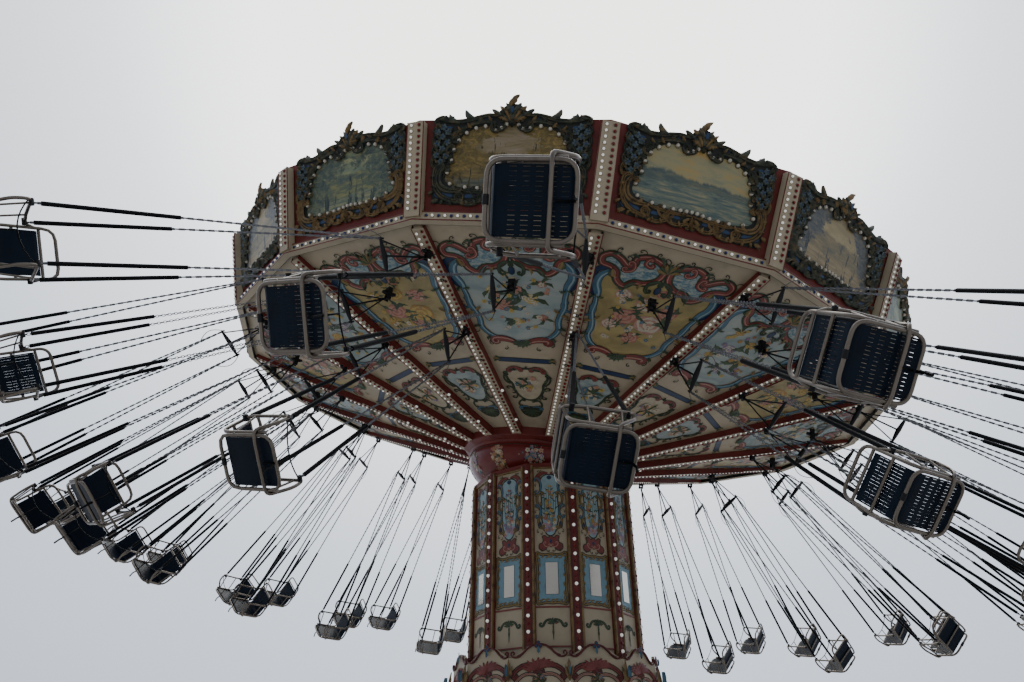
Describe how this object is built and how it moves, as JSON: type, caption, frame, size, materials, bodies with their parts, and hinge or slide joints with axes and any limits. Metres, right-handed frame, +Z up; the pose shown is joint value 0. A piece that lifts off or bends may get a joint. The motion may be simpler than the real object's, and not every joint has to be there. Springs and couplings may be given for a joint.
{
  "type": "chair swing ride",
  "caption": "Chair swing ride: chairs on chains under a tilting, turning canopy with a painted rim, on a column that rises out of a panelled drum.",
  "frame": {"origin": "on the ground, at the middle of the base's underside", "axes": "+Z up along the column; the viewer stands towards -Y; the canopy leans down towards +X and -Y"},
  "size_m": [17.081, 16.8243, 10.1332],
  "materials": {
    "base_steel": "grey anti-corrosion paint, satin",
    "cream_panel": "cream enamel with painted ornament, satin",
    "red_trim": "deep red gloss paint with gilt lines",
    "machine_steel": "black machinery paint, satin",
    "soffit_panel": "dark red gloss panels with painted ornament",
    "bowl_red": "glossy red lacquer with painted flowers",
    "board_paint": "maroon boards with painted scenes in carved frames",
    "pilaster_cream": "cream enamel pilasters with rows of lamps",
    "carving_gilt": "dull gilt, blue and green carving paint",
    "roof_sheet": "plain light grey sheet",
    "chair_steel": "grey-beige steel tube and chain"
  },
  "bodies": {
    "base": {"base_frame": "base_steel", "base_drum": "cream_panel"},
    "column": {"column_shell": "cream_panel", "column_mouldings": "red_trim"},
    "head": {"tilt_head": "machine_steel"},
    "canopy": {"canopy_frame": "machine_steel", "soffit": "soffit_panel", "hub_bowl": "bowl_red", "rim_boards": "board_paint", "rim_pilasters": "pilaster_cream", "rim_carvings": "carving_gilt", "roof": "roof_sheet"},
    "swing_outer_00_body": {"swing_outer_00": "chair_steel"},
    "swing_outer_01_body": {"swing_outer_01": "chair_steel"},
    "swing_outer_02_body": {"swing_outer_02": "chair_steel"},
    "swing_outer_03_body": {"swing_outer_03": "chair_steel"},
    "swing_outer_04_body": {"swing_outer_04": "chair_steel"},
    "swing_outer_05_body": {"swing_outer_05": "chair_steel"},
    "swing_outer_06_body": {"swing_outer_06": "chair_steel"},
    "swing_outer_07_body": {"swing_outer_07": "chair_steel"},
    "swing_outer_08_body": {"swing_outer_08": "chair_steel"},
    "swing_outer_09_body": {"swing_outer_09": "chair_steel"},
    "swing_outer_10_body": {"swing_outer_10": "chair_steel"},
    "swing_outer_11_body": {"swing_outer_11": "chair_steel"},
    "swing_outer_12_body": {"swing_outer_12": "chair_steel"},
    "swing_outer_13_body": {"swing_outer_13": "chair_steel"},
    "swing_outer_14_body": {"swing_outer_14": "chair_steel"},
    "swing_outer_15_body": {"swing_outer_15": "chair_steel"},
    "swing_middle_00_body": {"swing_middle_00": "chair_steel"},
    "swing_middle_01_body": {"swing_middle_01": "chair_steel"},
    "swing_middle_02_body": {"swing_middle_02": "chair_steel"},
    "swing_middle_03_body": {"swing_middle_03": "chair_steel"},
    "swing_middle_04_body": {"swing_middle_04": "chair_steel"},
    "swing_middle_05_body": {"swing_middle_05": "chair_steel"},
    "swing_middle_06_body": {"swing_middle_06": "chair_steel"},
    "swing_middle_07_body": {"swing_middle_07": "chair_steel"},
    "swing_middle_08_body": {"swing_middle_08": "chair_steel"},
    "swing_middle_09_body": {"swing_middle_09": "chair_steel"},
    "swing_middle_10_body": {"swing_middle_10": "chair_steel"},
    "swing_middle_11_body": {"swing_middle_11": "chair_steel"},
    "swing_middle_12_body": {"swing_middle_12": "chair_steel"},
    "swing_middle_13_body": {"swing_middle_13": "chair_steel"},
    "swing_middle_14_body": {"swing_middle_14": "chair_steel"},
    "swing_middle_15_body": {"swing_middle_15": "chair_steel"},
    "swing_inner_00_body": {"swing_inner_00": "chair_steel"},
    "swing_inner_01_body": {"swing_inner_01": "chair_steel"},
    "swing_inner_02_body": {"swing_inner_02": "chair_steel"},
    "swing_inner_03_body": {"swing_inner_03": "chair_steel"},
    "swing_inner_04_body": {"swing_inner_04": "chair_steel"},
    "swing_inner_05_body": {"swing_inner_05": "chair_steel"},
    "swing_inner_06_body": {"swing_inner_06": "chair_steel"},
    "swing_inner_07_body": {"swing_inner_07": "chair_steel"},
    "swing_inner_08_body": {"swing_inner_08": "chair_steel"},
    "swing_inner_09_body": {"swing_inner_09": "chair_steel"},
    "swing_inner_10_body": {"swing_inner_10": "chair_steel"},
    "swing_inner_11_body": {"swing_inner_11": "chair_steel"},
    "swing_inner_12_body": {"swing_inner_12": "chair_steel"},
    "swing_inner_13_body": {"swing_inner_13": "chair_steel"},
    "swing_inner_14_body": {"swing_inner_14": "chair_steel"},
    "swing_inner_15_body": {"swing_inner_15": "chair_steel"}
  },
  "joints": [
    {"name": "lift", "type": "slide", "parent": "base", "child": "column", "axis": [0, 0, 1], "range_m": [-2.1, 0]},
    {"name": "tilt", "type": "hinge", "parent": "column", "child": "head", "pos_m": [0, 0, 7.31], "axis": [0.6052, 0.7961, 0], "range_deg": [-10.16, 0]},
    {"name": "spin", "type": "hinge", "parent": "head", "child": "canopy", "pos_m": [0, 0, 7.31], "axis": [0.1404, -0.1067, 0.9843], "continuous": true},
    {"name": "swing_outer_00_fling", "type": "hinge", "parent": "canopy", "child": "swing_outer_00_body", "pos_m": [-4.40501, -2.48716, 7.73403], "axis": [-0.4734, 0.8659, 0.1614], "range_deg": [-43.84, 0]},
    {"name": "swing_outer_01_fling", "type": "hinge", "parent": "canopy", "child": "swing_outer_01_body", "pos_m": [-3.14946, -3.98044, 7.39296], "axis": [-0.481, 0.8616, 0.1621], "range_deg": [-55.91, 0]},
    {"name": "swing_outer_02_fling", "type": "hinge", "parent": "canopy", "child": "swing_outer_02_body", "pos_m": [-1.41306, -4.86878, 7.04889], "axis": [-0.6823, 0.71, 0.1743], "range_deg": [-64.53, 0]},
    {"name": "swing_outer_03_fling", "type": "hinge", "parent": "canopy", "child": "swing_outer_03_body", "pos_m": [0.53984, -5.01693, 6.75421], "axis": [-0.9864, 0.0705, 0.1484], "range_deg": [-61.86, 0]},
    {"name": "swing_outer_04_fling", "type": "hinge", "parent": "canopy", "child": "swing_outer_04_body", "pos_m": [2.41192, -4.40235, 6.55377], "axis": [-0.8696, -0.4886, 0.0711], "range_deg": [-62.23, 0]},
    {"name": "swing_outer_05_fling", "type": "hinge", "parent": "canopy", "child": "swing_outer_05_body", "pos_m": [3.91819, -3.11859, 6.4781], "axis": [-0.6222, -0.7828, 0.0039], "range_deg": [-62.27, 0]},
    {"name": "swing_outer_06_fling", "type": "hinge", "parent": "canopy", "child": "swing_outer_06_body", "pos_m": [4.82933, -1.3611, 6.5387], "axis": [-0.2802, -0.9578, -0.0639], "range_deg": [-60, 0]},
    {"name": "swing_outer_07_fling", "type": "hinge", "parent": "canopy", "child": "swing_outer_07_body", "pos_m": [5.00662, 0.60256, 6.72636], "axis": [0.1046, -0.987, -0.122], "range_deg": [-55.74, 0]},
    {"name": "swing_outer_08_fling", "type": "hinge", "parent": "canopy", "child": "swing_outer_08_body", "pos_m": [4.42307, 2.47344, 7.01251], "axis": [0.4734, -0.8659, -0.1614], "range_deg": [-53.16, 0]},
    {"name": "swing_outer_09_fling", "type": "hinge", "parent": "canopy", "child": "swing_outer_09_body", "pos_m": [3.16752, 3.96672, 7.35358], "axis": [0.7701, -0.613, -0.1764], "range_deg": [-46.09, 0]},
    {"name": "swing_outer_10_fling", "type": "hinge", "parent": "canopy", "child": "swing_outer_10_body", "pos_m": [1.43112, 4.85505, 7.69765], "axis": [0.9496, -0.2668, -0.1644], "range_deg": [-38.47, 0]},
    {"name": "swing_outer_11_fling", "type": "hinge", "parent": "canopy", "child": "swing_outer_11_body", "pos_m": [-0.52178, 5.00321, 7.99234], "axis": [0.9846, 0.1201, -0.1274], "range_deg": [-34.14, 0]},
    {"name": "swing_outer_12_fling", "type": "hinge", "parent": "canopy", "child": "swing_outer_12_body", "pos_m": [-2.39387, 4.38862, 8.19277], "axis": [0.7848, 0.6181, -0.0449], "range_deg": [-31.77, 0]},
    {"name": "swing_outer_13_fling", "type": "hinge", "parent": "canopy", "child": "swing_outer_13_body", "pos_m": [-3.90014, 3.10487, 8.26845], "axis": [0.567, 0.8237, 0.0084], "range_deg": [-34.73, 0]},
    {"name": "swing_outer_14_fling", "type": "hinge", "parent": "canopy", "child": "swing_outer_14_body", "pos_m": [-4.81127, 1.34738, 8.20784], "axis": [0.2802, 0.9578, 0.0639], "range_deg": [-40, 0]},
    {"name": "swing_outer_15_fling", "type": "hinge", "parent": "canopy", "child": "swing_outer_15_body", "pos_m": [-4.98856, -0.61628, 8.02018], "axis": [-0.0184, 0.9937, 0.1104], "range_deg": [-46.26, 0]},
    {"name": "swing_middle_00_fling", "type": "hinge", "parent": "canopy", "child": "swing_middle_00_body", "pos_m": [-3.44913, -2.92099, 7.40178], "axis": [-0.6339, 0.754, 0.1722], "range_deg": [-46.18, 0]},
    {"name": "swing_middle_01_fling", "type": "hinge", "parent": "canopy", "child": "swing_middle_01_body", "pos_m": [-2.09092, -4.00214, 7.09076], "axis": [-0.6138, 0.7707, 0.1712], "range_deg": [-56.48, 0]},
    {"name": "swing_middle_02_fling", "type": "hinge", "parent": "canopy", "child": "swing_middle_02_body", "pos_m": [-0.41615, -4.47266, 6.80079], "axis": [-0.9555, 0.2458, 0.163], "range_deg": [-57.09, 0]},
    {"name": "swing_middle_03_fling", "type": "hinge", "parent": "canopy", "child": "swing_middle_03_body", "pos_m": [1.32022, -4.26092, 6.57603], "axis": [-0.9452, -0.3103, 0.1012], "range_deg": [-59.32, 0]},
    {"name": "swing_middle_04_fling", "type": "hinge", "parent": "canopy", "child": "swing_middle_04_body", "pos_m": [2.85385, -3.39916, 6.45068], "axis": [-0.7605, -0.6482, 0.0382], "range_deg": [-60.67, 0]},
    {"name": "swing_middle_05_fling", "type": "hinge", "parent": "canopy", "child": "swing_middle_05_body", "pos_m": [3.95124, -2.01857, 6.44384], "axis": [-0.46, -0.8874, -0.0306], "range_deg": [-59.94, 0]},
    {"name": "swing_middle_06_fling", "type": "hinge", "parent": "canopy", "child": "swing_middle_06_body", "pos_m": [4.44533, -0.32934, 6.55655], "axis": [-0.0895, -0.9915, -0.0948], "range_deg": [-57.24, 0]},
    {"name": "swing_middle_07_fling", "type": "hinge", "parent": "canopy", "child": "swing_middle_07_body", "pos_m": [4.26091, 1.41137, 6.77163], "axis": [0.2946, -0.9446, -0.1445], "range_deg": [-52.99, 0]},
    {"name": "swing_middle_08_fling", "type": "hinge", "parent": "canopy", "child": "swing_middle_08_body", "pos_m": [3.42604, 2.93855, 7.05636], "axis": [0.6339, -0.754, -0.1722], "range_deg": [-48.82, 0]},
    {"name": "swing_middle_09_fling", "type": "hinge", "parent": "canopy", "child": "swing_middle_09_body", "pos_m": [2.06783, 4.01969, 7.36739], "axis": [0.8767, -0.4485, -0.1737], "range_deg": [-42.52, 0]},
    {"name": "swing_middle_10_fling", "type": "hinge", "parent": "canopy", "child": "swing_middle_10_body", "pos_m": [0.39306, 4.49021, 7.65735], "axis": [0.986, -0.0748, -0.1488], "range_deg": [-37.91, 0]},
    {"name": "swing_middle_11_fling", "type": "hinge", "parent": "canopy", "child": "swing_middle_11_body", "pos_m": [-1.34332, 4.27847, 7.88211], "axis": [0.9452, 0.3103, -0.1012], "range_deg": [-34.68, 0]},
    {"name": "swing_middle_12_fling", "type": "hinge", "parent": "canopy", "child": "swing_middle_12_body", "pos_m": [-2.87694, 3.41671, 8.00746], "axis": [0.7605, 0.6482, -0.0382], "range_deg": [-33.33, 0]},
    {"name": "swing_middle_13_fling", "type": "hinge", "parent": "canopy", "child": "swing_middle_13_body", "pos_m": [-3.97433, 2.03612, 8.0143], "axis": [0.3659, 0.9294, 0.0486], "range_deg": [-34.06, 0]},
    {"name": "swing_middle_14_fling", "type": "hinge", "parent": "canopy", "child": "swing_middle_14_body", "pos_m": [-4.46843, 0.34689, 7.9016], "axis": [-0.014, 0.9939, 0.1098], "range_deg": [-41.76, 0]},
    {"name": "swing_middle_15_fling", "type": "hinge", "parent": "canopy", "child": "swing_middle_15_body", "pos_m": [-4.284, -1.39382, 7.68651], "axis": [-0.6002, 0.7815, 0.1704], "range_deg": [-41.01, 0]},
    {"name": "swing_inner_00_fling", "type": "hinge", "parent": "canopy", "child": "swing_inner_00_body", "pos_m": [-3.27769, -1.78747, 7.28663], "axis": [-0.4734, 0.8659, 0.1614], "range_deg": [-41.38, 0]},
    {"name": "swing_inner_01_fling", "type": "hinge", "parent": "canopy", "child": "swing_inner_01_body", "pos_m": [-2.35705, -2.88242, 7.03654], "axis": [-0.7701, 0.613, 0.1764], "range_deg": [-44.34, 0]},
    {"name": "swing_inner_02_fling", "type": "hinge", "parent": "canopy", "child": "swing_inner_02_body", "pos_m": [-1.08383, -3.5338, 6.78425], "axis": [-0.9496, 0.2668, 0.1644], "range_deg": [-49.11, 0]},
    {"name": "swing_inner_03_fling", "type": "hinge", "parent": "canopy", "child": "swing_inner_03_body", "pos_m": [0.34814, -3.64243, 6.56817], "axis": [-0.9846, -0.1201, 0.1274], "range_deg": [-52.94, 0]},
    {"name": "swing_inner_04_fling", "type": "hinge", "parent": "canopy", "child": "swing_inner_04_body", "pos_m": [1.72086, -3.19179, 6.4212], "axis": [-0.8932, -0.4426, 0.0794], "range_deg": [-55.26, 0]},
    {"name": "swing_inner_05_fling", "type": "hinge", "parent": "canopy", "child": "swing_inner_05_body", "pos_m": [2.82534, -2.25047, 6.36571], "axis": [-0.6222, -0.7828, 0.0039], "range_deg": [-55.72, 0]},
    {"name": "swing_inner_06_fling", "type": "hinge", "parent": "canopy", "child": "swing_inner_06_body", "pos_m": [3.49343, -0.96178, 6.41015], "axis": [-0.1794, -0.9805, -0.0807], "range_deg": [-57.23, 0]},
    {"name": "swing_inner_07_fling", "type": "hinge", "parent": "canopy", "child": "swing_inner_07_body", "pos_m": [3.62343, 0.47808, 6.54776], "axis": [0.2069, -0.9691, -0.1346], "range_deg": [-53.04, 0]},
    {"name": "swing_inner_08_fling", "type": "hinge", "parent": "canopy", "child": "swing_inner_08_body", "pos_m": [3.19554, 1.84991, 6.75758], "axis": [0.4734, -0.8659, -0.1614], "range_deg": [-46.62, 0]},
    {"name": "swing_inner_09_fling", "type": "hinge", "parent": "canopy", "child": "swing_inner_09_body", "pos_m": [2.2749, 2.94487, 7.00767], "axis": [0.7701, -0.613, -0.1764], "range_deg": [-41.66, 0]},
    {"name": "swing_inner_10_fling", "type": "hinge", "parent": "canopy", "child": "swing_inner_10_body", "pos_m": [1.00168, 3.59624, 7.25996], "axis": [0.9496, -0.2668, -0.1644], "range_deg": [-36.89, 0]},
    {"name": "swing_inner_11_fling", "type": "hinge", "parent": "canopy", "child": "swing_inner_11_body", "pos_m": [-0.43029, 3.70488, 7.47604], "axis": [0.9846, 0.1201, -0.1274], "range_deg": [-33.06, 0]},
    {"name": "swing_inner_12_fling", "type": "hinge", "parent": "canopy", "child": "swing_inner_12_body", "pos_m": [-1.80301, 3.25423, 7.62301], "axis": [0.9538, 0.2813, -0.1056], "range_deg": [-30.74, 0]},
    {"name": "swing_inner_13_fling", "type": "hinge", "parent": "canopy", "child": "swing_inner_13_body", "pos_m": [-2.90749, 2.31291, 7.6785], "axis": [0.7465, 0.6645, -0.0344], "range_deg": [-30.29, 0]},
    {"name": "swing_inner_14_fling", "type": "hinge", "parent": "canopy", "child": "swing_inner_14_body", "pos_m": [-3.57558, 1.02422, 7.63406], "axis": [0.5456, 0.838, 0.013], "range_deg": [-34.77, 0]},
    {"name": "swing_inner_15_fling", "type": "hinge", "parent": "canopy", "child": "swing_inner_15_body", "pos_m": [-3.70558, -0.41564, 7.49645], "axis": [0.1538, 0.9845, 0.0848], "range_deg": [-39.96, 0]}
  ],
  "couplings": [
    {"joint": "swing_outer_01_fling", "follows": "swing_outer_00_fling", "ratio": 1.2752},
    {"joint": "swing_outer_02_fling", "follows": "swing_outer_00_fling", "ratio": 1.4719},
    {"joint": "swing_outer_03_fling", "follows": "swing_outer_00_fling", "ratio": 1.4108},
    {"joint": "swing_outer_04_fling", "follows": "swing_outer_00_fling", "ratio": 1.4192},
    {"joint": "swing_outer_05_fling", "follows": "swing_outer_00_fling", "ratio": 1.4203},
    {"joint": "swing_outer_06_fling", "follows": "swing_outer_00_fling", "ratio": 1.3684},
    {"joint": "swing_outer_07_fling", "follows": "swing_outer_00_fling", "ratio": 1.2713},
    {"joint": "swing_outer_08_fling", "follows": "swing_outer_00_fling", "ratio": 1.2123},
    {"joint": "swing_outer_09_fling", "follows": "swing_outer_00_fling", "ratio": 1.0512},
    {"joint": "swing_outer_10_fling", "follows": "swing_outer_00_fling", "ratio": 0.8773},
    {"joint": "swing_outer_11_fling", "follows": "swing_outer_00_fling", "ratio": 0.77868},
    {"joint": "swing_outer_12_fling", "follows": "swing_outer_00_fling", "ratio": 0.72471},
    {"joint": "swing_outer_13_fling", "follows": "swing_outer_00_fling", "ratio": 0.79203},
    {"joint": "swing_outer_14_fling", "follows": "swing_outer_00_fling", "ratio": 0.91238},
    {"joint": "swing_outer_15_fling", "follows": "swing_outer_00_fling", "ratio": 1.0551},
    {"joint": "swing_middle_00_fling", "follows": "swing_outer_00_fling", "ratio": 1.0533},
    {"joint": "swing_middle_01_fling", "follows": "swing_outer_00_fling", "ratio": 1.2881},
    {"joint": "swing_middle_02_fling", "follows": "swing_outer_00_fling", "ratio": 1.3021},
    {"joint": "swing_middle_03_fling", "follows": "swing_outer_00_fling", "ratio": 1.3529},
    {"joint": "swing_middle_04_fling", "follows": "swing_outer_00_fling", "ratio": 1.3838},
    {"joint": "swing_middle_05_fling", "follows": "swing_outer_00_fling", "ratio": 1.3672},
    {"joint": "swing_middle_06_fling", "follows": "swing_outer_00_fling", "ratio": 1.3056},
    {"joint": "swing_middle_07_fling", "follows": "swing_outer_00_fling", "ratio": 1.2085},
    {"joint": "swing_middle_08_fling", "follows": "swing_outer_00_fling", "ratio": 1.1134},
    {"joint": "swing_middle_09_fling", "follows": "swing_outer_00_fling", "ratio": 0.96983},
    {"joint": "swing_middle_10_fling", "follows": "swing_outer_00_fling", "ratio": 0.86463},
    {"joint": "swing_middle_11_fling", "follows": "swing_outer_00_fling", "ratio": 0.791},
    {"joint": "swing_middle_12_fling", "follows": "swing_outer_00_fling", "ratio": 0.76014},
    {"joint": "swing_middle_13_fling", "follows": "swing_outer_00_fling", "ratio": 0.77675},
    {"joint": "swing_middle_14_fling", "follows": "swing_outer_00_fling", "ratio": 0.95234},
    {"joint": "swing_middle_15_fling", "follows": "swing_outer_00_fling", "ratio": 0.93543},
    {"joint": "swing_inner_00_fling", "follows": "swing_outer_00_fling", "ratio": 0.94368},
    {"joint": "swing_inner_01_fling", "follows": "swing_outer_00_fling", "ratio": 1.0114},
    {"joint": "swing_inner_02_fling", "follows": "swing_outer_00_fling", "ratio": 1.12},
    {"joint": "swing_inner_03_fling", "follows": "swing_outer_00_fling", "ratio": 1.2075},
    {"joint": "swing_inner_04_fling", "follows": "swing_outer_00_fling", "ratio": 1.2604},
    {"joint": "swing_inner_05_fling", "follows": "swing_outer_00_fling", "ratio": 1.2707},
    {"joint": "swing_inner_06_fling", "follows": "swing_outer_00_fling", "ratio": 1.3054},
    {"joint": "swing_inner_07_fling", "follows": "swing_outer_00_fling", "ratio": 1.2097},
    {"joint": "swing_inner_08_fling", "follows": "swing_outer_00_fling", "ratio": 1.0634},
    {"joint": "swing_inner_09_fling", "follows": "swing_outer_00_fling", "ratio": 0.95007},
    {"joint": "swing_inner_10_fling", "follows": "swing_outer_00_fling", "ratio": 0.84142},
    {"joint": "swing_inner_11_fling", "follows": "swing_outer_00_fling", "ratio": 0.75398},
    {"joint": "swing_inner_12_fling", "follows": "swing_outer_00_fling", "ratio": 0.70106},
    {"joint": "swing_inner_13_fling", "follows": "swing_outer_00_fling", "ratio": 0.69072},
    {"joint": "swing_inner_14_fling", "follows": "swing_outer_00_fling", "ratio": 0.79295},
    {"joint": "swing_inner_15_fling", "follows": "swing_outer_00_fling", "ratio": 0.91137}
  ]
}
